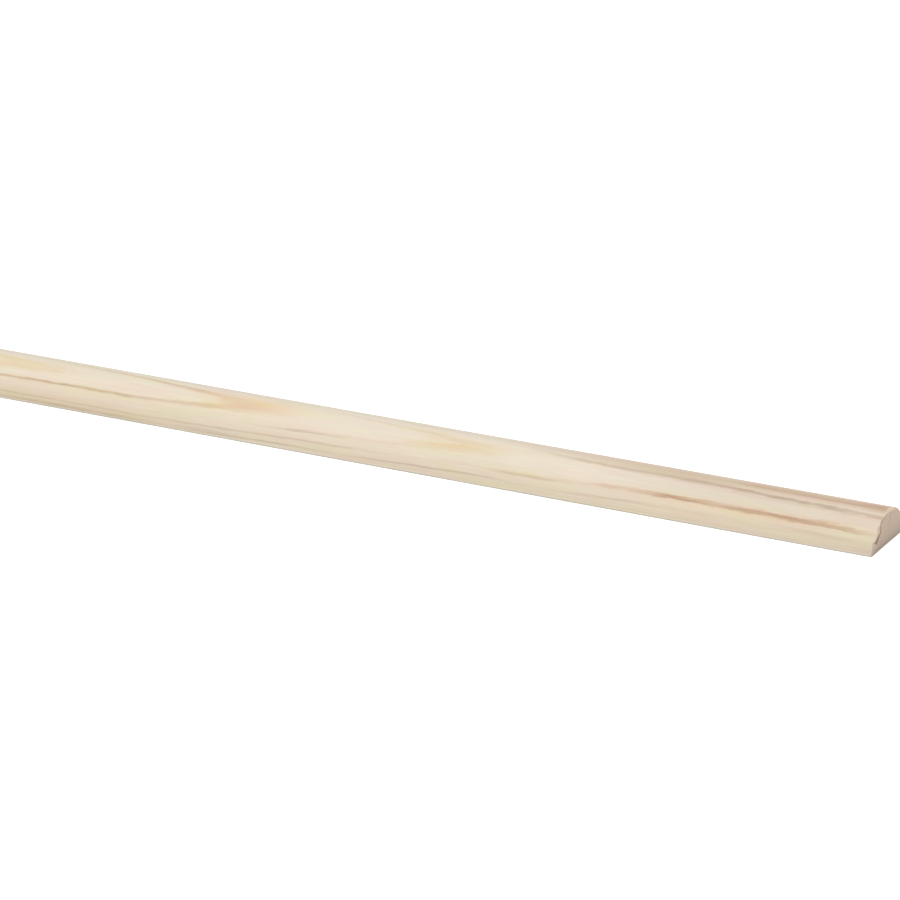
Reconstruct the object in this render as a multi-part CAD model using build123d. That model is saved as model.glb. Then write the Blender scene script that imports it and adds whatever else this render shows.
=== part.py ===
from build123d import *
import os

# Half-round timber moulding: one length of softwood, planed to a rounded face on a flat back
# and sawn square at both ends. It lies on its back, with its length along X and the crown up.

# Driving dimensions in millimetres
LENGTH = 1000.0
WIDTH = 21.0  # overall, across the two eased edges
HEIGHT = 9.0  # from the flat back to the crown
EDGE_RADIUS = 0.4  # easing where the round meets the back


def face_radius():
    """Radius of the one arc that passes over the crown and runs smoothly into both eased edges.

    The centres of the eased edges lie on an arc EDGE_RADIUS inside the face, so that inner arc
    follows from its chord and its rise, and the face is EDGE_RADIUS larger.
    """
    half_chord = WIDTH / 2 - EDGE_RADIUS
    rise = HEIGHT - 2 * EDGE_RADIUS
    return (half_chord**2 + rise**2) / (2 * rise) + EDGE_RADIUS


def moulding_section():
    """The cross-section: the part of the face circle above the back, with its two corners eased."""
    radius = face_radius()
    with BuildSketch(Plane.YZ) as section:
        with Locations((0, HEIGHT - radius)):
            Circle(radius)
        split(bisect_by=Plane.XZ, keep=Keep.BOTTOM)
        fillet(section.vertices(), EDGE_RADIUS)
    return section.sketch


def half_round_moulding():
    """The whole stick, sawn square to its length half way to each side of the origin."""
    return extrude(moulding_section(), amount=LENGTH / 2, both=True)


os.makedirs("parts", exist_ok=True)
export_step(half_round_moulding(), "parts/half_round_moulding.step")
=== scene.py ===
import math

import bpy
import numpy as np
from mathutils import Matrix, Vector


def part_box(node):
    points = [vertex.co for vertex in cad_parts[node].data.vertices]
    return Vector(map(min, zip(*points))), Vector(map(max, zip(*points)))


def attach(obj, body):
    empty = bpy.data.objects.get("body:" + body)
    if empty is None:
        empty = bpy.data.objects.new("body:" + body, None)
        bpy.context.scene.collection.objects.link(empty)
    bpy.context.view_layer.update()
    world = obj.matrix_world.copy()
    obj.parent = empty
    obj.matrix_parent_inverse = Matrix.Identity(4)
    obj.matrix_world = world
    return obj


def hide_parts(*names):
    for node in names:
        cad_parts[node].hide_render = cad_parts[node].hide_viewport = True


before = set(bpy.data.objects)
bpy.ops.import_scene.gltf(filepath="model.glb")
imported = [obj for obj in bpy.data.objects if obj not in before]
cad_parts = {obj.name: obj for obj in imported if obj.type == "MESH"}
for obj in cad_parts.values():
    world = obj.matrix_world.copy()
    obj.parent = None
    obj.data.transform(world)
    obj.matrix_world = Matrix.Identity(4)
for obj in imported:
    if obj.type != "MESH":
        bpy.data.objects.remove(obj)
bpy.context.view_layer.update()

NODE = "half_round_moulding"
MM = 0.001

# The stick's size in millimetres, from the frame, with the easing of its two long edges
LENGTH, WIDTH, HEIGHT = ((high - low) / MM for low, high in zip(*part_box(NODE)))
EDGE_RADIUS = 0.4
HALF_CHORD = WIDTH / 2 - EDGE_RADIUS
INNER_RISE = HEIGHT - 2 * EDGE_RADIUS
FACE_RADIUS = (HALF_CHORD**2 + INNER_RISE**2) / (2 * INNER_RISE) + EDGE_RADIUS
FACE_CENTRE = (0.0, HEIGHT - FACE_RADIUS)
FACE_HALF_ANGLE = math.atan2(HALF_CHORD, EDGE_RADIUS - FACE_CENTRE[1])
CROWN = FACE_RADIUS * FACE_HALF_ANGLE  # the crown's height, measured round the face from its front edge

# Fineness of the mesh
FACE_STEPS = 96
EDGE_STEPS = 4
HALF_BACK_STEPS = 12
LENGTH_STEPS = 400
END_STEPS = (0.3, 0.7, 1.3, 2.0)  # extra loops this far from each sawn end
CAP_LOOPS = 44
CAP_CROWDING = 1.25  # above 1, the loops of a sawn end lie closer together near its rim
CAP_CENTRE = (0.0, 3.6)
RIM = 0.18  # the saw leaves the rim of each end slightly broken
SHARP_ANGLE = math.radians(28)

# The baked map: the skin in rows, one above the other, with the two ends in the strip that is left
MAP_ROWS = 4
MAP_MARGIN = 3.0
MAP_SIZE = LENGTH / MAP_ROWS + 2 * MAP_MARGIN
END_SCALE = 1.6

# Growth rings. The heart of the tree is above the rounded face, so each ring shows there as a long V,
# pale outside its dark line and honey inside it.
PITH_ABOVE = 150.0
RING_THICKNESS = 1.35
RING_NUMBERS = np.arange(-14, 16)
RING_EDGES = {-1: -1.3, 0: 0.0, 1: 1.34, 2: 2.74, 3: 3.74}  # heights of the rings that the photo shows
RING_LEAD = 0.4  # a ring's own values start this far outside its dark edge, in rings

# A place along the stick is its distance from the sawn end that the photo shows, in units a little shorter
# than a millimetre. Heights are millimetres up round the face from its front edge.
PLACE_SCALE = 1.013
UNSEEN = (260, 340)  # places between which the photo's part of the stick ends
LEAN = (  # degrees from the crown towards the front at which the rings crest
    (0, 36.7), (10, 35.7), (20, 34.6), (32, 33.6), (40, 33.0), (50, 32.2), (68, 32.3), (78, 33.5),
    (88, 34.3), (95, 32.6), (103, 29.3), (109, 26.8), (145, 27.0), (160, 25.5), (170, 23.8), (184, 24.8),
    (190, 24.8), (200, 24.3), (210, 24.3), (226, 21.5), (250, 20.0), (1000, 14.0),
)
RISE = (  # how far the rings have risen through the face
    (0, 0.32), (10, 0.345), (20, 0.365), (32, 0.41), (40, 0.435), (50, 0.47), (70, 0.47), (78, 0.55),
    (88, 0.74), (95, 0.95), (103, 1.21), (109, 1.34), (125, 1.57), (133, 1.76), (145, 2.00), (162, 2.38),
    (171, 2.64), (178, 2.75), (184, 2.855), (190, 2.95), (195, 3.065), (200, 3.14), (210, 3.31),
    (218, 3.48), (250, 3.80), (1000, 14.0),
)
LATEWOOD = {  # how dark each ring's line is along the stick, on the front flank and on the back flank
    3: (
        ((225, 0.0), (260, 0.1)),
        ((225, 0.0), (260, 0.1)),
    ),
    2: (
        (
            (166, 0.03), (178, 0.10), (186, 0.26), (193, 0.22), (205, 0.28), (215, 0.50), (225, 0.58),
            (260, 0.60),
        ),
        ((166, 0.03), (180, 0.06), (188, 0.22), (203, 0.46), (216, 0.46), (228, 0.30), (245, 0.06)),
    ),
    1: (
        (
            (100, 0.02), (115, 0.14), (128, 0.10), (140, 0.05), (149, 0.08), (153, 0.32), (167, 0.36),
            (173, 0.10), (182, 0.02),
        ),
        ((100, 0.02), (115, 0.08), (125, 0.18), (136, 0.12), (146, 0.12), (165, 0.02)),
    ),
    0: (
        (
            (0, 0.10), (5, 0.40), (10, 0.72), (13, 0.76), (18, 0.62), (24, 0.66), (29, 0.86), (35, 0.86),
            (39, 0.62), (44, 0.62), (48, 0.83), (56, 0.80), (63, 0.36), (74, 0.30), (79, 0.05), (84, 0.04),
            (89, 0.28), (101, 0.32), (107, 0.08), (145, 0.06), (151, 0.34), (170, 0.36), (177, 0.18),
            (184, 0.36), (198, 0.36), (205, 0.16), (214, 0.28), (260, 0.30),
        ),
        ((0, 0.50), (18, 0.63), (45, 0.64), (56, 0.32), (68, 0.36), (82, 0.32), (100, 0.06), (260, 0.03)),
    ),
    -1: (
        (
            (0, 0.06), (30, 0.06), (58, 0.08), (66, 0.24), (80, 0.24), (86, 0.06), (103, 0.08), (108, 0.40),
            (138, 0.38), (143, 0.12), (156, 0.12), (161, 0.30), (187, 0.36), (205, 0.36), (216, 0.58),
            (246, 0.58), (260, 0.40),
        ),
        ((0, 0.40), (8, 0.46), (22, 0.46), (42, 0.34), (60, 0.16), (100, 0.12), (260, 0.12)),
    ),
    -2: (
        ((0, 0.05), (165, 0.10), (180, 0.50), (225, 0.52), (260, 0.46)),
        ((0, 0.25), (60, 0.15), (260, 0.10)),
    ),
}
FLANK_BLEND = 0.75  # millimetres each side of the crest over which one flank's line turns into the other's
HONEY_GLOW = {  # how far the wood inside each ring's line turns to honey, where the rings crest
    3: ((225, 0.35), (260, 0.55)),
    2: ((164, 0.30), (173, 0.50), (184, 0.80), (192, 0.80), (205, 0.50), (225, 0.20), (260, 0.10)),
    1: ((100, 0.35), (120, 0.40), (134, 0.20), (150, 0.05)),
    0: ((0, 0.25), (35, 0.22), (50, 0.12), (80, 0.15), (110, 0.10)),
}
GLOW_ON_FLANKS = 0.55
CREST_BREADTH = 4.0
HALO_REACH = ((0.0, 0.10), (2.0, 0.35))  # how far honey spreads outside a line, by distance from the crest
ORANGE_RUN = (  # from 0, where the honey is yellow, to 1, where it is orange
    (95, 1.0), (105, 0.05), (126, 0.05), (140, 1.0), (222, 1.0), (235, 0.2), (330, 0.2), (420, 0.7),
)

# Wobbles of the rings, as how far they swing, with a wavelength and a seed
LEAN_SWING, LEAN_WOBBLE = 3.0, (260, 5)
RISE_SWING, RISE_WOBBLE = 0.45, (210, 8)
RISE_TREMBLE, TREMBLE_WOBBLE = 0.015, (23, 3)
WOBBLE_WAVES = 4
WOBBLE_SPREAD = (0.55, 1.8)  # the waves of a wobble, as shares of its wavelength
WOBBLE_PEAK = 2.4
CURVE_REACH = 8  # places over which a smooth curve is rounded

# Lines and glow of the rings that the photo doesn't show
MADE_UP_LINE = {"mean": 0.32, "swing": 0.27, "limits": (0.08, 0.7), "wavelength": 150, "seed": 100}
MADE_UP_GLOW = {"mean": 0.5, "swing": 0.4, "limits": (0.1, 0.9), "wavelength": 190, "seed": 140}
FAINT_AT_CREST = 0.65

# Soft patches beside the lines: place, height, half length, half height, climb along the stick, strength
HONEY_PATCHES = (
    (22, 12.6, 26, 0.8, 0.0, 0.16),
    (36, 4.5, 26, 0.75, 0.0, 0.45),
    (70, 5.4, 9, 0.7, 0.0, 0.20),
    (97, 4.4, 7, 0.6, 0.0, 0.30),
    (118, 8.8, 14, 1.4, -0.09, 0.68),
    (113, 11.0, 8, 1.0, 0.0, 0.45),
    (124, 12.3, 5, 0.6, 0.0, 0.40),
    (179, 10.7, 13, 2.9, 0.0, 0.78),
    (190, 12.2, 10, 1.4, 0.0, 0.48),
    (204, 13.2, 10, 0.55, 0.085, 0.35),
    (190, 8.2, 8, 0.8, -0.05, 0.45),
    (222, 5.3, 32, 0.9, 0.0, 0.20),
    (225, 8.2, 35, 1.6, 0.0, 0.12),
)
BROWN_PATCHES = (
    (2.5, 15.0, 4.5, 0.8, 0.0, 0.75),
    (2, 1.2, 4, 0.9, 0.0, 0.12),
    (24, 14.4, 12, 0.5, 0.0, 0.25),
    (18, 9.9, 22, 0.6, 0.0, 0.22),
    (15, 2.85, 9, 0.4, 0.03, 0.36),
    (98, 15.0, 20, 1.5, 0.0, 0.12),
    (190, 0.8, 9, 0.5, 0.0, 0.25),
    (230, 0.35, 26, 0.55, 0.0, 0.46),
    (232, 14.3, 14, 0.8, 0.0, 0.07),
)

# Casts of colour. A band gives a strength by height, and a fade the places or heights of its 0 and its 1.
# Painted shade: a grey mixed into the back flank just behind the crown, where the light falls off
FLANK_SHADE_BAND = ((14.0, 0.0), (16.0, 0.20), (17.5, 0.20), (22.0, 0.0))  # grey just behind the crown
ROSE_BAND = ((5.5, 0.0), (7.0, 0.24), (11.0, 0.24), (12.5, 0.0))  # rosy between the lines
ROSE_FADE = (80, 55)
BROWN_BAND = ((11.4, 0.1), (12.3, 0.55), (13.0, 0.65), (13.8, 1.15), (15.4, 1.05), (17.0, 0.5))
BROWN_FADE = (54, 36)
END_BROWNING, END_FADE = 0.45, (8, 2)  # browner still close to the sawn end
TAN_BAND = ((10.8, 0.0), (12.0, 0.82), (15.5, 0.78), (18.0, 0.4))
TAN_FADES = ((101, 56), (26, 44))  # away from the sawn end, and towards it
STRAW_BAND = ((1.5, 0.23), (3.0, 0.20), (3.6, 0.15), (5.5, 0.12), (7.5, 0.0))
STRAW_GAIN, STRAW_GAIN_FADE, STRAW_GAIN_HEIGHTS = 0.8, (190, 220), (3.5, 2.5)
GREY_LINES_BELOW = (3.0, 4.5)
GREY_LINES_BAND = ((8.5, 0.0), (10.0, 1.0), (13.4, 1.0), (14.4, 0.0))
GREY_LINES_FADE = (110, 85)
GREY_LINES_RISE = ((138, 0.0), (148, 2.5), (170, 2.5), (180, 0.0))  # how far these heights rise, by place
# Painted highlight: the two eased long edges are painted paler, lifting the shade on their undersides
EDGE_LIGHT_BAND = ((-0.15, 0.0), (0.1, 1.0), (0.45, 1.0), (0.55, 0.0))  # by distance past the edge of the face
END_FOOT_FADE = (4.6, 0.6)  # the sawn ends darken towards the floor, by millimetres above it

# Damage to the sawn end that the photo shows, by height up its front rim: how far the rim is broken back,
# how far in the break reaches, and how dark and wide the split behind it is
BROKEN_RIM = (
    (0.0, 0.30), (1.6, 0.39), (3.0, 0.55), (3.5, 0.06), (5.2, 0.08), (6.2, 0.30), (7.0, 0.50), (7.7, 0.25),
    (8.3, 0.06), (9.6, 0.15), (13.0, 0.15), (14.0, 0.30), (15.0, 0.55), (17.0, 0.45), (19.0, 0.05),
)
BREAK_REACH = (
    (0.0, 2.0), (3.0, 1.4), (3.8, 1.35), (5.3, 1.9), (7.0, 2.25), (7.9, 0.8), (8.6, 0.3), (10.1, 0.3),
    (11.3, 0.4), (12.8, 0.6), (15.0, 0.7),
)
# The split is cut into the end as a shallow groove; its dark colour is painted shade, standing in for the
# shade down the split and along the step behind the broken rim
SPLIT_DARKNESS = ((2.8, 0.0), (3.3, 1.0), (7.2, 0.85), (8.6, 0.6), (10.5, 0.45), (13.0, 0.0))
SPLIT_WIDTH = ((3.3, 0.60), (4.6, 0.50), (6.5, 0.28))
SPLIT_DEPTH = 0.25
CLEFT_EDGE = 0.3  # the pale wood of the break is full from this far in front of the split
CLEFT_FOOT, CLEFT_TOP = (3.2, 3.6), (18.0, 17.0)  # heights where it starts and stops
BROKEN_FOOT, FOOT_RISE = 0.5, 1.3  # the foot of the cut leans back
FOOT_AT_BACK = 0.15  # and leans less towards the back of the stick
BREAK_RUN = 2.0  # how far from the end the skin draws back to meet the broken rim

# Colours as 0 to 255 sRGB
EARLYWOOD = (235, 224, 206)
YELLOW_HONEY = (233, 214, 160)
ORANGE_HONEY = (234, 201, 164)
STRAW = (224, 196, 152)
OLIVE_TAN = (205, 187, 160)
PINK_TAN = (211, 185, 166)
ROSE_GREY = (206, 189, 179)
# painted shade: the grey of the back flank where the light falls off
PAINTED_FLANK_SHADE = (199, 200, 196)
# painted highlight of the two eased long edges
PAINTED_EDGE_LIGHT = (250, 240, 222)
WARM_BROWN = (186, 152, 123)
GREY_BROWN = (172, 147, 126)
END_EARLYWOOD = (228, 204, 185)
END_LATEWOOD = (212, 185, 165)
END_FOOT = (222, 230, 234)
CLEFT_WOOD = (232, 214, 192)
# painted shade in the split behind the broken rim
PAINTED_SPLIT_SHADE = (128, 102, 82)
TINTS = ((0.35, (255, 250, 249)), (0.5, (255, 254, 253)), (0.65, (253, 255, 246)))  # rosy to green

# Noises of the wood: length of their grain along the stick, breadth and height, in millimetres
FIBRE_GRAIN = (26, 0.6, 0.6)
FEATHER_GRAIN = (4, 0.8, 0.8)
BREAK_GRAIN = (11, 0.9, 0.9)
FINE_GRAIN = (7, 0.16, 0.16)
TINT_GRAIN = (20, 2.4, 2.4)
MOTTLE_GRAIN = (16, 2.2, 2.2)
PORE_GRAIN = (3, 0.16, 0.16)
SCRATCH_GRAIN = (3, 0.14, 5)
PLAIN_DETAIL, FIBRE_DETAIL = 2.0, 3.0
PLAIN_ROUGHNESS, FIBRE_ROUGHNESS = 0.5, 0.6
NOISE_MIDDLE = 0.5
# The middle part of a noise that is spread over a whole range
WIDE, HALF, NARROW, NARROWEST = (0.2, 0.8), (0.25, 0.75), (0.3, 0.7), (0.38, 0.62)

# A ring across its dark edge, in rings: where its line comes and goes, where its glow goes, how they waver
LINE_COMES, LINE_GOES = (-0.22, -0.03), (0.02, 0.20)
GLOW_GOES = (0.06, 0.3)
FIBRE_WAVER, FEATHER_WAVER = 0.14, 0.30
LINE_BREAKS = (0.65, 1.25)  # how much fainter and darker a line gets in places

# Strengths of the colours, ranges of light and dark, sheen and depth of the relief in millimetres
TAN_STRENGTH, TAN_UNEVENNESS = 0.9, 0.8
ORANGE_LEAST, ORANGE_UNEVENNESS = 0.6, 0.5
FINE_SHADES, FIBRE_SHADES = (0.95, 1.03), (0.96, 1.02)
SKIN_ROUGHNESS, SKIN_SPECULAR, SKIN_BUMP = (0.56, 0.72), 0.25, 0.03
FINE_BUMP = 0.5  # the fine grain's share of the skin's bump
CLEFT_STRENGTH = 0.6
PORE_SHADES, SCRATCH_SHADES = (0.9, 1.04), (0.93, 1.03)
END_ROUGHNESS, END_SPECULAR, END_BUMP = 0.85, 0.15, 0.05

# Studio light: a white world and floor, a broad soft key lamp, and a low card behind the stick
WHITE = (1, 1, 1, 1)
WORLD_SEEN, WORLD_LIT = 1.0, 0.5
FLOOR_SIZE = 12.0
FLOOR_SEEN, FLOOR_LIT = 1.3, 0.5
KEY_FROM = (0.42, -0.48, 0.77)
KEY_SPREAD, KEY_STRENGTH = math.radians(44), 1.86
CARD_FROM = (-0.3, 0.95, 0.03)
CARD_SPREAD, CARD_STRENGTH = math.radians(12), 0.65

# Camera fitted to the photo's 900-pixel frame
IMAGE_PX = 900
AZIMUTH, ELEVATION = math.radians(27.283), math.radians(20.386)
FOCAL_PX = 3948.6
CORNER_PX = (872.8, 557.9)  # the lower front corner of the sawn end
CORNER_DEPTH = 957.6
SENSOR = 36.0
CLIP_START = 0.01


def linear(colour):
    """A 0 to 255 sRGB colour as linear RGBA."""
    parts = [c / 255 for c in colour]
    return [c / 12.92 if c <= 0.04045 else ((c + 0.055) / 1.055) ** 2.4 for c in parts] + [1.0]


def table(points, at):
    """Straight lines between a few given points, flat beyond the ends."""
    return np.interp(at, *np.array(points, float).T)


def fade(value, zero, one):
    """Runs from 0 at one value to 1 at another, flat beyond both."""
    return np.clip((value - zero) / (one - zero), 0, 1)


def smooth_curve(points, at):
    """A smooth line through a few given points, flat beyond the ends."""
    first, last = points[0][0], points[-1][0]
    fine = np.arange(first, last + 1.0)
    window = np.hanning(2 * CURVE_REACH + 1)
    padded = np.pad(table(points, fine), CURVE_REACH, mode="edge")
    return np.interp(at, fine, np.convolve(padded, window / window.sum(), "valid"))


def wander(at, wavelength, seed):
    """A smooth seeded wobble between about -1 and 1."""
    rng = np.random.default_rng(seed)
    waves = wavelength * rng.uniform(*WOBBLE_SPREAD, WOBBLE_WAVES)
    phases = rng.uniform(0, 2 * math.pi, WOBBLE_WAVES)
    return sum(np.sin(2 * math.pi * at / w + p) for w, p in zip(waves, phases)) / WOBBLE_PEAK


def arc(centre, radius, start, end, steps):
    """Points on an arc in the section, between two angles from the vertical towards the back."""
    turn = np.linspace(start, end, steps + 1)
    return np.stack([centre[0] + radius * np.sin(turn), centre[1] + radius * np.cos(turn)], 1)


def section_outline():
    """The section from the middle of the back, round the front edge, over the crown and back again."""
    down = math.pi
    back = np.linspace(0, HALF_CHORD, HALF_BACK_STEPS + 1)
    flat = np.zeros_like(back)
    return np.concatenate([
        np.stack([-back, flat], 1)[:-1],
        arc((-HALF_CHORD, EDGE_RADIUS), EDGE_RADIUS, -down, -FACE_HALF_ANGLE, EDGE_STEPS)[:-1],
        arc(FACE_CENTRE, FACE_RADIUS, -FACE_HALF_ANGLE, FACE_HALF_ANGLE, FACE_STEPS)[:-1],
        arc((HALF_CHORD, EDGE_RADIUS), EDGE_RADIUS, FACE_HALF_ANGLE, down, EDGE_STEPS)[:-1],
        np.stack([back[::-1], flat], 1)[:-1],
    ])


def stations():
    """Places along X of the loops of the skin, closer together near both ends."""
    even = np.linspace(-LENGTH / 2, LENGTH / 2, LENGTH_STEPS + 1)[1:-1]
    near = LENGTH / 2 - np.array((RIM, *END_STEPS))
    return np.unique(np.concatenate([even, near, -near]))


def face_height(points):
    """Millimetres up round the face from its front edge, for any point of the section."""
    turn = np.arctan2(points[:, 1] - FACE_CENTRE[0], points[:, 2] - FACE_CENTRE[1])
    return FACE_RADIUS * (turn + FACE_HALF_ANGLE)


def place_of(points):
    """Where each point is along the stick, in the units of the tables above."""
    return PLACE_SCALE * (LENGTH / 2 - points[:, 0])


def unseen(place):
    """Runs from 0 where the photo shows the stick to 1 along the rest of it."""
    return fade(place, *UNSEEN)


def lean_of_rings(place):
    """The angle from the crown towards the front at which the rings crest under the face."""
    swing = LEAN_SWING * unseen(place) * wander(place, *LEAN_WOBBLE)
    return np.radians(smooth_curve(LEAN, place) + swing)


def ring_edges():
    """Heights and numbers of the rings' dark edges, evenly spaced beyond those that the photo shows."""
    shown = np.clip(RING_NUMBERS, min(RING_EDGES), max(RING_EDGES))
    heights = np.array([RING_EDGES[n] for n in shown]) + RING_THICKNESS * (RING_NUMBERS - shown)
    return heights, RING_NUMBERS


def ring_count(points):
    """Growth rings passed at each point on the way to the heart, from the ring that the sawn end cuts."""
    y, z = points.T[1:]
    place = place_of(points)
    lean = lean_of_rings(place)
    rise = smooth_curve(RISE, place) + RISE_SWING * unseen(place) * wander(place, *RISE_WOBBLE)
    rise += RISE_TREMBLE * wander(place, *TREMBLE_WOBBLE)
    pith_y = FACE_CENTRE[0] - (FACE_RADIUS + PITH_ABOVE) * np.sin(lean)
    pith_z = FACE_CENTRE[1] + (FACE_RADIUS + PITH_ABOVE) * np.cos(lean)
    under_crest = np.hypot(y - pith_y, z - pith_z) - PITH_ABOVE
    return np.interp(rise - under_crest, *ring_edges())


def above_crest(points):
    """Millimetres up round the face from the line where the rings crest."""
    return face_height(points) - CROWN + FACE_RADIUS * lean_of_rings(place_of(points))


def near_crest(points):
    """Runs from 1 where the rings crest under the face to 0 on their flanks."""
    return np.exp(-((above_crest(points) / CREST_BREADTH) ** 2))


def made_up(place, number, mean, swing, limits, wavelength, seed):
    """A strength that wanders along one ring where the photo doesn't show it."""
    return np.clip(mean + swing * wander(place, wavelength, seed + int(number)), *limits)


def line_strength(place, number, crest, behind):
    """How dark one ring's line is."""
    dark = made_up(place, number, **MADE_UP_LINE) * (1 - FAINT_AT_CREST * crest)
    if number not in LATEWOOD:
        return dark
    front, back = (smooth_curve(flank, place) for flank in LATEWOOD[number])
    shown = front + (back - front) * behind
    return shown + (dark - shown) * unseen(place)


def glow_strength(place, number):
    """How far the wood inside one ring's line turns to honey where the rings crest."""
    glow = made_up(place, number, **MADE_UP_GLOW)
    if number not in HONEY_GLOW:
        return glow
    shown = smooth_curve(HONEY_GLOW[number], place)
    return shown + (glow - shown) * unseen(place)


def ring_strengths(points, ring):
    """The dark of the lines and the glow inside them, changing from ring to ring where the wood is pale."""
    place = place_of(points)
    crest = near_crest(points)
    behind = fade(above_crest(points), -FLANK_BLEND, FLANK_BLEND)
    nearest = np.floor(ring + RING_LEAD).astype(int)
    dark, glow = np.zeros_like(place), np.zeros_like(place)
    for number in np.unique(nearest):
        here = nearest == number
        dark[here] = line_strength(place[here], number, crest[here], behind[here])
        glow[here] = glow_strength(place[here], number)
    return dark, np.maximum(glow * crest, GLOW_ON_FLANKS * dark * line_warmth(points))


def soft_patches(points, patches):
    """How strong a few soft-edged patches are at each point."""
    place = place_of(points)
    height = face_height(points)
    total = np.zeros_like(place)
    for at, up, half_length, half_height, climb, strength in patches:
        along = place - at
        across = height - up - climb * along
        spread = (along / half_length) ** 2 + (across / half_height) ** 2
        total = np.maximum(total, strength * np.exp(-spread))
    return total


def rose_cast(points):
    """The pale wood between the lines is a little rosier near the sawn end."""
    return table(ROSE_BAND, face_height(points)) * fade(place_of(points), *ROSE_FADE)


def line_warmth(points):
    """Runs from 0, where the lines are grey-brown, low on the front and behind near the sawn end, to 1."""
    place = place_of(points)
    height = face_height(points) - table(GREY_LINES_RISE, place)
    behind = table(GREY_LINES_BAND, height) * fade(place, *GREY_LINES_FADE)
    return fade(height, *GREY_LINES_BELOW) * (1 - behind)


def tan_cast(points):
    """The tan of the back flank, browner towards the sawn end."""
    place = place_of(points)
    height = face_height(points)
    brown = table(BROWN_BAND, height) * fade(place, *BROWN_FADE)
    brown *= 1 + END_BROWNING * fade(place, *END_FADE)
    tan = table(TAN_BAND, height)
    for limits in TAN_FADES:
        tan *= fade(place, *limits)
    return np.maximum(brown, tan)


def straw_cast(points):
    """The faint straw colour low on the front, stronger away from the sawn end."""
    height = face_height(points)
    far = fade(place_of(points), *STRAW_GAIN_FADE) * fade(height, *STRAW_GAIN_HEIGHTS)
    return table(STRAW_BAND, height) * (1 + STRAW_GAIN * far)


def painted_edge_light(points):
    """Runs to 1 on the two eased long edges, which are painted paler: a painted highlight that lifts the
    shade on their undersides.
    """
    past_face = np.abs(face_height(points) - CROWN) - CROWN
    return table(EDGE_LIGHT_BAND, past_face)


def broken_end(points):
    """How far each point of the sawn end is set back, how dark its split is and how pale its cleft."""
    y, z = points.T[1:]
    height = face_height(points)
    inward = FACE_RADIUS - np.hypot(y - FACE_CENTRE[0], z - FACE_CENTRE[1])
    reach = table(BREAK_REACH, height)
    rim = table(BROKEN_RIM, height) * fade(inward, reach, 0)
    foot = BROKEN_FOOT * fade(z, FOOT_RISE, 0) * np.interp(y, (-WIDTH / 2, WIDTH / 2), (1, FOOT_AT_BACK))
    off_split = (inward - reach) / table(SPLIT_WIDTH, height)
    split = table(SPLIT_DARKNESS, height) * np.exp(-(off_split**2))
    cleft = fade(inward, reach, reach - CLEFT_EDGE) * fade(height, *CLEFT_FOOT) * fade(height, *CLEFT_TOP)
    return np.maximum(rim, foot) + SPLIT_DEPTH * split, split, cleft


def grain_values(points):
    """What the two materials read from the mesh at each of its points."""
    ring = ring_count(points)
    late, glow = ring_strengths(points, ring)
    damaged = points[:, 0] > LENGTH / 2 - BREAK_RUN
    split, cleft = (value * damaged for value in broken_end(points)[1:])
    return {
        "ring": ring,
        "late": late,
        "glow": glow,
        "halo": table(HALO_REACH, np.abs(above_crest(points))),
        "warmth": line_warmth(points),
        "honey": soft_patches(points, HONEY_PATCHES),
        "orange": smooth_curve(ORANGE_RUN, place_of(points)),
        "brown": soft_patches(points, BROWN_PATCHES),
        "tan": tan_cast(points),
        # painted shade greying the back flank just behind the crown
        "flank": table(FLANK_SHADE_BAND, face_height(points)),
        "rose": rose_cast(points),
        "straw": straw_cast(points),
        # painted highlight on the two eased long edges
        "edge": painted_edge_light(points),
        "foot": fade(points[:, 2], *END_FOOT_FADE),
        # painted shade in the split behind the broken rim
        "split": split,
        "cleft": cleft,
    }


class Mesh:
    """Points, faces and map places of the stick, gathered part by part."""

    def __init__(self):
        self.points, self.faces, self.places, self.sawn = [], [], [], []
        self.count = 0

    def add_points(self, points):
        """Adds points and gives the number of the first."""
        first = self.count
        self.points.append(points)
        self.count += len(points)
        return first

    def add_faces(self, corners, places, sawn):
        """Adds faces with the map places of their corners."""
        self.faces.extend(corners)
        self.places.extend(places)
        self.sawn.extend([sawn] * len(corners))


def skin_points(outline, places):
    """Loops of the planed skin along the length, drawn back where the end is broken."""
    grid = np.empty((len(places), len(outline), 3))
    grid[:, :, 0] = places[:, None]
    grid[:, :, 1:] = outline[None]
    near_end = fade(places, LENGTH / 2 - BREAK_RUN, LENGTH / 2 - RIM)
    grid[:, :, 0] -= near_end[:, None] * broken_end(grid[-1])[0][None]
    return grid.reshape(-1, 3)


def skin(mesh, outline, places):
    """The planed skin, with the first points of its two rims and the top of its rows in the map."""
    loops, around = len(places), len(outline)
    first = mesh.add_points(skin_points(outline, places))
    step = np.linalg.norm(np.roll(outline, -1, 0) - outline, axis=1)
    run = np.concatenate([[0], np.cumsum(step)])
    row_length = LENGTH / MAP_ROWS
    row_height = run[-1] + MAP_MARGIN
    corners, map_places = [], []
    for i in range(loops - 1):
        row = int((places[i] + places[i + 1] + LENGTH) / 2 // row_length)
        left, right = (MAP_MARGIN + places[k] + LENGTH / 2 - row * row_length for k in (i, i + 1))
        here, there = first + i * around, first + (i + 1) * around
        for j in range(around):
            k = (j + 1) % around
            corners.append((here + j, there + j, there + k, here + k))
            low, high = (MAP_MARGIN + row * row_height + run[n] for n in (j, j + 1))
            map_places.extend([(left, low), (right, low), (right, high), (left, high)])
    mesh.add_faces(corners, np.array(map_places).reshape(-1, 4, 2) / MAP_SIZE, False)
    return first, first + (loops - 1) * around, MAP_MARGIN + MAP_ROWS * row_height


def cap_section(outline):
    """Loops of a sawn end that shrink from the rim to the middle, and the middle itself."""
    middle = np.array(CAP_CENTRE)
    spokes = outline - middle
    first_shrink = 1 - RIM / np.linalg.norm(spokes, axis=1)
    shrinks = [first_shrink * (1 - (k / CAP_LOOPS) ** CAP_CROWDING) for k in range(CAP_LOOPS)]
    return np.concatenate([middle + spokes * shrink[:, None] for shrink in shrinks] + [middle[None]])


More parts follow.
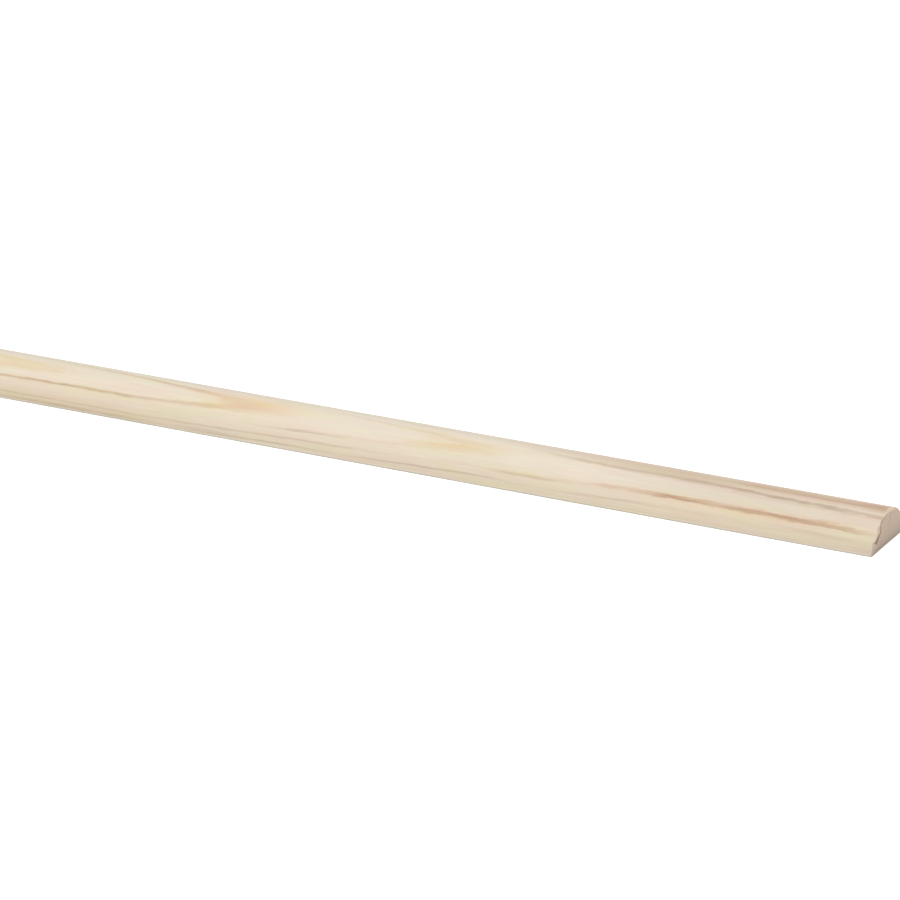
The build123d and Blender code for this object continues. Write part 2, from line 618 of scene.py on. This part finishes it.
def cap(mesh, outline, rim, side, map_corner):
    """One sawn end, from the rim of the skin inwards, closed by a fan."""
    around = len(outline)
    inside = cap_section(outline)
    face = np.column_stack([np.full(len(inside), side * LENGTH / 2), inside])
    if side > 0:
        face[:, 0] -= broken_end(face)[0]
    first = mesh.add_points(face)
    numbers = np.concatenate([rim + np.arange(around), first + np.arange(len(face))])
    flat_map = np.concatenate([outline, inside]) * (side, 1) + (WIDTH / 2, 0)
    flat_map = (flat_map * END_SCALE + np.array(map_corner)) / MAP_SIZE
    patches = []
    for outer in range(0, CAP_LOOPS * around, around):
        inner = outer + around
        for j in range(around):
            k = (j + 1) % around
            patches.append([outer + j, inner + j, inner + k, outer + k])
    last, centre = CAP_LOOPS * around, len(numbers) - 1
    patches.extend([last + j, centre, last + (j + 1) % around] for j in range(around))
    turned = [patch[::side] for patch in patches]
    mesh.add_faces([numbers[patch] for patch in turned], [flat_map[patch] for patch in turned], True)


def stick():
    """The whole moulding as one closed mesh with its grain stored on the points."""
    outline = section_outline()
    parts = Mesh()
    left_rim, right_rim, ends_top = skin(parts, outline, stations())
    right_corner = (MAP_MARGIN, ends_top + MAP_MARGIN)
    left_corner = (3 * MAP_MARGIN + WIDTH * END_SCALE, ends_top + MAP_MARGIN)
    cap(parts, outline, right_rim, 1, right_corner)
    cap(parts, outline, left_rim, -1, left_corner)
    points = np.concatenate(parts.points)
    data = bpy.data.meshes.new("pine_half_round")
    data.from_pydata((points * MM).tolist(), [], [list(map(int, face)) for face in parts.faces])
    layer = data.uv_layers.new(name="OFBake")
    layer.uv.foreach_set("vector", np.concatenate([np.asarray(p).ravel() for p in parts.places]))
    for name, value in grain_values(points).items():
        data.attributes.new(name, "FLOAT", "POINT").data.foreach_set("value", value.astype(np.float32))
    data.polygons.foreach_set("material_index", np.array(parts.sawn, np.int32))
    data.shade_smooth()
    data.set_sharp_from_angle(angle=SHARP_ANGLE)
    data.update()
    made = bpy.data.objects.new("pine_half_round", data)
    bpy.context.scene.collection.objects.link(made)
    return made


class Shader:
    """Short calls for building one material's nodes."""

    def __init__(self, name):
        self.material = bpy.data.materials.new(name)
        self.material.use_nodes = True
        self.tree = self.material.node_tree
        self.surface = self.tree.nodes["Principled BSDF"]

    def link(self, value, socket):
        """Feeds a socket from another one, or sets its own value."""
        if isinstance(value, bpy.types.NodeSocket):
            self.tree.links.new(value, socket)
        else:
            socket.default_value = value

    def node(self, kind, **settings):
        made = self.tree.nodes.new(kind)
        for name, value in settings.items():
            setattr(made, name, value)
        return made

    def attribute(self, name):
        return self.node("ShaderNodeAttribute", attribute_name=name).outputs["Fac"]

    def math(self, operation, *values):
        made = self.node("ShaderNodeMath", operation=operation)
        for value, socket in zip(values, made.inputs):
            self.link(value, socket)
        return made.outputs[0]

    def noise(self, grain, detail=PLAIN_DETAIL, roughness=PLAIN_ROUGHNESS):
        """Noise whose grains have this length, breadth and height in millimetres."""
        where = self.node("ShaderNodeTexCoord").outputs["Object"]
        scaled = self.node("ShaderNodeVectorMath", operation="DIVIDE")
        self.link(where, scaled.inputs[0])
        scaled.inputs[1].default_value = [size * MM for size in grain]
        made = self.node("ShaderNodeTexNoise")
        self.link(scaled.outputs[0], made.inputs["Vector"])
        made.inputs["Scale"].default_value = 1.0
        made.inputs["Detail"].default_value = detail
        made.inputs["Roughness"].default_value = roughness
        return made.outputs["Fac"]

    def span(self, value, low, high, to_low=0.0, to_high=1.0, smooth=True):
        """One range of a value spread over another range."""
        kind = "SMOOTHSTEP" if smooth else "LINEAR"
        made = self.node("ShaderNodeMapRange", interpolation_type=kind)
        names = ("Value", "From Min", "From Max", "To Min", "To Max")
        for name, setting in zip(names, (value, low, high, to_low, to_high)):
            self.link(setting, made.inputs[name])
        return made.outputs["Result"]

    def ramp(self, value, stops):
        """Colours blended along a value, each at its own stop."""
        made = self.node("ShaderNodeValToRGB")
        band = made.color_ramp
        while len(band.elements) < len(stops):
            band.elements.new(0.5)
        for element, (at, colour) in zip(band.elements, stops):
            element.position = at
            element.color = linear(colour)
        self.link(value, made.inputs["Fac"])
        return made.outputs["Color"]

    def mix(self, factor, a, b, blend="MIX"):
        made = self.node("ShaderNodeMix", data_type="RGBA", blend_type=blend)
        for socket, value in zip((made.inputs[0], made.inputs[6], made.inputs[7]), (factor, a, b)):
            self.link(value, socket)
        return made.outputs[2]

    def cast(self, wood, name, colour, blend="MIX"):
        """The wood with a colour mixed in as far as the mesh's value of this name says."""
        return self.mix(self.attribute(name), wood, linear(colour), blend)

    def shades(self, wood, one, other):
        """The wood made lighter and darker by two ranges of grey."""
        return self.mix(1.0, wood, self.math("MULTIPLY", one, other), "MULTIPLY")

    def set_surface(self, colour, roughness, specular):
        self.link(colour, self.surface.inputs["Base Color"])
        self.link(roughness, self.surface.inputs["Roughness"])
        self.link(specular, self.surface.inputs["Specular IOR Level"])

    def bump(self, height, distance):
        """Fine relief, this many millimetres deep."""
        made = self.node("ShaderNodeBump")
        made.inputs["Distance"].default_value = distance * MM
        self.link(height, made.inputs["Height"])
        self.link(made.outputs["Normal"], self.surface.inputs["Normal"])


class Grain:
    """The growth rings at each point of a surface: their thin dark lines and the honey glow inside them."""

    def __init__(self, shade):
        self.fibre = shade.noise(FIBRE_GRAIN, FIBRE_DETAIL, FIBRE_ROUGHNESS)
        uneven = shade.math("SUBTRACT", self.fibre, NOISE_MIDDLE)
        through = self.through_ring(shade, uneven)
        self.line = self.dark_line(shade, through)
        self.glow = self.honey_glow(shade, through)
        self.warmth = shade.attribute("warmth")
        ragged = shade.math("MULTIPLY_ADD", uneven, TAN_UNEVENNESS, 1.0)
        self.tan = shade.math("MULTIPLY", ragged, shade.attribute("tan"))

    def through_ring(self, shade, uneven):
        """How far each point is past the dark edge of its ring, in rings."""
        feather = shade.noise(FEATHER_GRAIN, PLAIN_DETAIL, FIBRE_ROUGHNESS)
        waver = shade.math("MULTIPLY", uneven, FIBRE_WAVER)
        feathered = shade.math("SUBTRACT", feather, NOISE_MIDDLE)
        waver = shade.math("MULTIPLY_ADD", feathered, FEATHER_WAVER, waver)
        ahead = shade.math("ADD", shade.math("ADD", shade.attribute("ring"), waver), RING_LEAD)
        return shade.math("SUBTRACT", shade.math("FRACT", ahead), RING_LEAD)

    def dark_line(self, shade, through):
        """The lines and the brown patches beside them, broken up along the stick."""
        comes = shade.span(through, *LINE_COMES)
        goes = shade.span(through, *LINE_GOES, 1.0, 0.0)
        line = shade.math("MULTIPLY", shade.math("MULTIPLY", comes, goes), shade.attribute("late"))
        line = shade.math("MAXIMUM", line, shade.attribute("brown"))
        broken = shade.span(shade.noise(BREAK_GRAIN), *NARROW, *LINE_BREAKS, smooth=False)
        return shade.math("MULTIPLY", line, broken)

    def honey_glow(self, shade, through):
        """The glow of the rings and the honey patches beside them."""
        halo = shade.math("MULTIPLY", shade.attribute("halo"), -1.0)
        comes = shade.span(through, halo, 0.0)
        goes = shade.span(through, *GLOW_GOES, 1.0, 0.0)
        glow = shade.math("MULTIPLY", shade.math("MULTIPLY", comes, goes), shade.attribute("glow"))
        return shade.math("MAXIMUM", glow, shade.attribute("honey"))


def planed_colour(shade, grain):
    """The pale wood with its casts of colour and the painted shade behind the crown, its honey, its dark
    lines and the painted highlight on its eased edges.
    """
    mottle = shade.span(shade.noise(MOTTLE_GRAIN), *NARROWEST)
    # painted shade: the back flank just behind the crown is greyed where the light falls off
    wood = shade.cast(linear(EARLYWOOD), "flank", PAINTED_FLANK_SHADE)
    wood = shade.cast(wood, "rose", ROSE_GREY)
    wood = shade.cast(wood, "straw", STRAW)
    tan = shade.mix(mottle, linear(OLIVE_TAN), linear(PINK_TAN))
    wood = shade.mix(shade.math("MULTIPLY", grain.tan, TAN_STRENGTH), wood, tan)
    orange = shade.math("MULTIPLY_ADD", mottle, ORANGE_UNEVENNESS, ORANGE_LEAST)
    orange = shade.math("MULTIPLY", orange, shade.attribute("orange"))
    honey = shade.mix(orange, linear(YELLOW_HONEY), linear(ORANGE_HONEY))
    wood = shade.mix(grain.glow, wood, honey)
    dark = shade.mix(grain.warmth, linear(GREY_BROWN), linear(WARM_BROWN))
    wood = shade.mix(grain.line, wood, dark)
    # painted highlight: the eased long edges are painted paler, lifting their shade
    return shade.cast(wood, "edge", PAINTED_EDGE_LIGHT)


def planed_pine():
    """The material of the skin: planed along the grain, with a slight sheen."""
    shade = Shader("planed_pine")
    grain = Grain(shade)
    fine = shade.noise(FINE_GRAIN)
    tint = shade.ramp(shade.noise(TINT_GRAIN), TINTS)
    wood = shade.mix(1.0, planed_colour(shade, grain), tint, "MULTIPLY")
    grey = shade.span(fine, *WIDE, *FINE_SHADES, smooth=False)
    streak = shade.span(grain.fibre, *HALF, *FIBRE_SHADES, smooth=False)
    roughness = shade.span(grain.fibre, *WIDE, *SKIN_ROUGHNESS)
    shade.set_surface(shade.shades(wood, grey, streak), roughness, SKIN_SPECULAR)
    height = shade.math("MULTIPLY_ADD", fine, FINE_BUMP, grain.fibre)
    shade.bump(shade.math("ADD", height, grain.line), SKIN_BUMP)
    return shade.material


def sawn_pine():
    """The material of the two ends: sawn across the grain, dull, with pores and the saw's scratches."""
    shade = Shader("sawn_pine")
    grain = Grain(shade)
    pores = shade.noise(PORE_GRAIN)
    scratches = shade.noise(SCRATCH_GRAIN)
    late = shade.math("MAXIMUM", grain.glow, grain.line)
    wood = shade.mix(late, linear(END_EARLYWOOD), linear(END_LATEWOOD))
    cleft = shade.math("MULTIPLY", shade.attribute("cleft"), CLEFT_STRENGTH)
    wood = shade.mix(cleft, wood, linear(CLEFT_WOOD))
    pitted = shade.span(pores, *HALF, *PORE_SHADES, smooth=False)
    sawn = shade.span(scratches, *HALF, *SCRATCH_SHADES, smooth=False)
    wood = shade.shades(wood, pitted, sawn)
    wood = shade.cast(wood, "foot", END_FOOT, "MULTIPLY")
    # Painted shade: the split and the step behind the broken rim are darkened
    wood = shade.cast(wood, "split", PAINTED_SPLIT_SHADE)
    shade.set_surface(wood, END_ROUGHNESS, END_SPECULAR)
    shade.bump(shade.math("ADD", pores, scratches), END_BUMP)
    return shade.material


def seen_or_lit(tree, seen, lit):
    """One value where the camera, a reflection or glass looks, and another for the light itself."""
    path = tree.nodes.new("ShaderNodeLightPath")
    total = path.outputs["Is Camera Ray"]
    for name in ("Is Glossy Ray", "Is Transmission Ray"):
        either = tree.nodes.new("ShaderNodeMath")
        either.operation = "MAXIMUM"
        tree.links.new(total, either.inputs[0])
        tree.links.new(path.outputs[name], either.inputs[1])
        total = either.outputs[0]
    mix = tree.nodes.new("ShaderNodeMix")
    mix.inputs["A"].default_value = lit
    mix.inputs["B"].default_value = seen
    tree.links.new(total, mix.inputs["Factor"])
    return mix.outputs["Result"]


def floor():
    """A plain white floor that throws less light up than it shows."""
    bpy.ops.mesh.primitive_plane_add(size=FLOOR_SIZE)
    plane = bpy.context.object
    plane.name = "floor"
    paint = bpy.data.materials.new("floor")
    paint.use_nodes = True
    tree = paint.node_tree
    tree.nodes.clear()
    diffuse = tree.nodes.new("ShaderNodeBsdfDiffuse")
    tree.links.new(seen_or_lit(tree, FLOOR_SEEN, FLOOR_LIT), diffuse.inputs["Color"])
    output = tree.nodes.new("ShaderNodeOutputMaterial")
    tree.links.new(diffuse.outputs["BSDF"], output.inputs["Surface"])
    plane.data.materials.append(paint)


def distant_lamp(name, source, spread, strength):
    """A soft lamp, far enough away to light the floor evenly."""
    lamp = bpy.data.lights.new(name, "SUN")
    lamp.angle = spread
    lamp.energy = strength
    made = bpy.data.objects.new(name, lamp)
    made.rotation_euler = Vector(source).to_track_quat("Z", "Y").to_euler()
    bpy.context.scene.collection.objects.link(made)
    return made


def lights():
    """The white world, the key lamp and the card, which leaves no gleam on the wood."""
    world = bpy.data.worlds.new("studio")
    world.use_nodes = True
    tree = world.node_tree
    sky = tree.nodes["Background"]
    tree.links.new(seen_or_lit(tree, WORLD_SEEN, WORLD_LIT), sky.inputs["Strength"])
    sky.inputs["Color"].default_value = WHITE
    bpy.context.scene.world = world
    distant_lamp("key", KEY_FROM, KEY_SPREAD, KEY_STRENGTH)
    card = distant_lamp("card", CARD_FROM, CARD_SPREAD, CARD_STRENGTH)
    card.visible_glossy = False


def camera():
    """The photo's camera, placed by the corner of the sawn end in its picture."""
    right = Vector((math.cos(AZIMUTH), math.sin(AZIMUTH), 0))
    back = Vector((
        math.sin(AZIMUTH) * math.cos(ELEVATION),
        -math.cos(AZIMUTH) * math.cos(ELEVATION),
        math.sin(ELEVATION),
    ))
    up = back.cross(right)
    per_px = CORNER_DEPTH / FOCAL_PX
    corner = Vector((LENGTH / 2, -WIDTH / 2, 0))
    sideways = (CORNER_PX[0] - IMAGE_PX / 2) * per_px
    upwards = (IMAGE_PX / 2 - CORNER_PX[1]) * per_px
    eye = corner - right * sideways - up * upwards + back * CORNER_DEPTH
    lens = bpy.data.cameras.new("camera")
    lens.sensor_width = SENSOR
    lens.lens = SENSOR * FOCAL_PX / IMAGE_PX
    lens.clip_start = CLIP_START
    made = bpy.data.objects.new("camera", lens)
    turn = Matrix((right, up, back)).transposed().to_4x4()
    made.matrix_world = Matrix.Translation(eye * MM) @ turn
    bpy.context.scene.collection.objects.link(made)
    bpy.context.scene.camera = made


piece = stick()
piece.data.materials.append(planed_pine())
piece.data.materials.append(sawn_pine())
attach(piece, "root")
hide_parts(NODE)
floor()
lights()
camera()
bpy.context.scene.view_settings.view_transform = "Standard"
